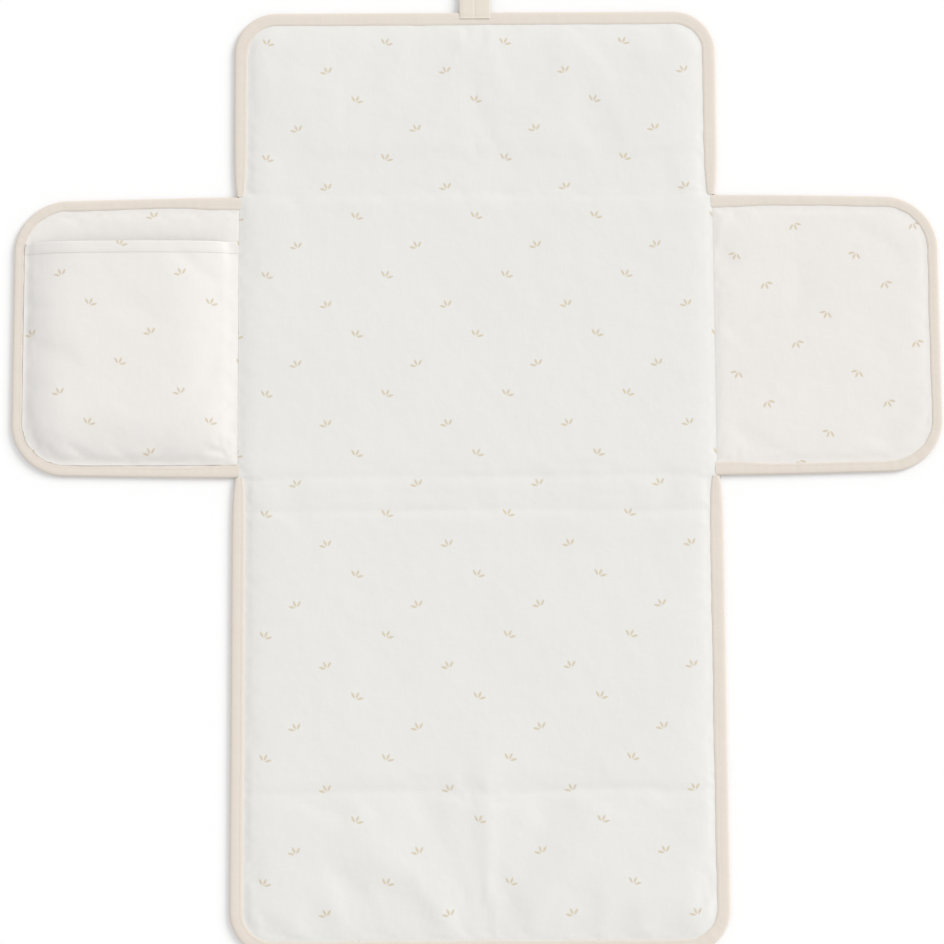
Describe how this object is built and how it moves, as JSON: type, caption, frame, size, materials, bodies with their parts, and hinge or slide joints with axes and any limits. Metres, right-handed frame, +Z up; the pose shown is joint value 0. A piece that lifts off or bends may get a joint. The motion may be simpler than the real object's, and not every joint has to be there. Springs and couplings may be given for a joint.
{
  "type": "baby changing pad",
  "caption": "Travel changing pad of padded printed cotton with bound edges, fold-in side wings, an open nappy pocket, fold lines across it and a strap with a snap that holds it shut.",
  "frame": {"origin": "middle of the centre panel's underside, on the plane that the open pad lies on", "axes": "+Z up out of the printed face, +Y along the pad's length to the flap and its strap, +X to the wing without a pocket"},
  "size_m": [0.742, 0.8135, 0.0136],
  "materials": {
    "printed_cotton": "matt off-white cotton with a small beige twig print",
    "foam": "soft white foam wadding",
    "plain_cotton": "matt off-white cotton",
    "bias_binding": "matt beige cotton bias tape with a sewn edge",
    "snap_plastic": "satin beige plastic"
  },
  "bodies": {
    "centre_panel": {"centre_face": "printed_cotton", "centre_foam": "foam", "centre_backing": "plain_cotton"},
    "left_wing": {"left_wing_face": "printed_cotton", "left_wing_wadding": "foam", "left_wing_backing": "plain_cotton", "left_wing_binding": "bias_binding", "pocket_panel": "printed_cotton", "pocket_hem": "printed_cotton"},
    "right_wing": {"right_wing_face": "printed_cotton", "right_wing_wadding": "foam", "right_wing_backing": "plain_cotton", "right_wing_binding": "bias_binding"},
    "lower_spine": {"lower_spine_face": "printed_cotton", "lower_spine_foam": "foam", "lower_spine_backing": "plain_cotton", "lower_spine_binding_left": "bias_binding", "lower_spine_binding_right": "bias_binding"},
    "lower_panel": {"lower_panel_face": "printed_cotton", "lower_panel_foam": "foam", "lower_panel_backing": "plain_cotton", "lower_panel_binding_left": "bias_binding", "lower_panel_binding_right": "bias_binding", "stud_patch": "plain_cotton", "snap_stud": "snap_plastic", "snap_post": "snap_plastic"},
    "end_panel": {"end_panel_face": "printed_cotton", "end_panel_foam": "foam", "end_panel_backing": "plain_cotton", "end_panel_binding": "bias_binding"},
    "upper_spine": {"upper_spine_face": "printed_cotton", "upper_spine_foam": "foam", "upper_spine_backing": "plain_cotton", "upper_spine_binding_left": "bias_binding", "upper_spine_binding_right": "bias_binding"},
    "flap": {"flap_face": "printed_cotton", "flap_foam": "foam", "flap_backing": "plain_cotton", "flap_binding": "bias_binding", "strap_anchor": "bias_binding"},
    "strap": {"strap_body": "bias_binding", "snap_cap": "snap_plastic", "snap_socket": "snap_plastic"}
  },
  "joints": [
    {"name": "left_wing_fold", "type": "hinge", "parent": "centre_panel", "child": "left_wing", "pos_m": [-0.19215, 0, 0.01], "axis": [0, 1, 0], "range_deg": [0, 179.8]},
    {"name": "right_wing_fold", "type": "hinge", "parent": "centre_panel", "child": "right_wing", "pos_m": [0.19215, 0, 0.0053], "axis": [0, -1, 0], "range_deg": [0, 179.8]},
    {"name": "lower_spine_fold", "type": "hinge", "parent": "centre_panel", "child": "lower_spine", "pos_m": [0, -0.114, 0.006], "axis": [-1, 0, 0], "range_deg": [0, 90]},
    {"name": "lower_panel_fold", "type": "hinge", "parent": "lower_spine", "child": "lower_panel", "pos_m": [0, -0.141, 0.006], "axis": [-1, 0, 0], "range_deg": [0, 90]},
    {"name": "end_panel_fold", "type": "hinge", "parent": "lower_panel", "child": "end_panel", "pos_m": [0, -0.362, 0.0062], "axis": [-1, 0, 0], "range_deg": [0, 179.8]},
    {"name": "upper_spine_fold", "type": "hinge", "parent": "centre_panel", "child": "upper_spine", "pos_m": [0, 0.114, 0.006], "axis": [1, 0, 0], "range_deg": [0, 90]},
    {"name": "flap_fold", "type": "hinge", "parent": "upper_spine", "child": "flap", "pos_m": [0, 0.1478, 0.006], "axis": [1, 0, 0], "range_deg": [0, 90]},
    {"name": "strap_fold", "type": "hinge", "parent": "flap", "child": "strap", "pos_m": [0, 0.2665, 0.0012], "axis": [1, 0, 0], "range_deg": [-170, 1.7]}
  ],
  "couplings": [
    {"joint": "lower_spine_fold", "follows": "lower_panel_fold", "ratio": 1},
    {"joint": "upper_spine_fold", "follows": "flap_fold", "ratio": 1}
  ]
}
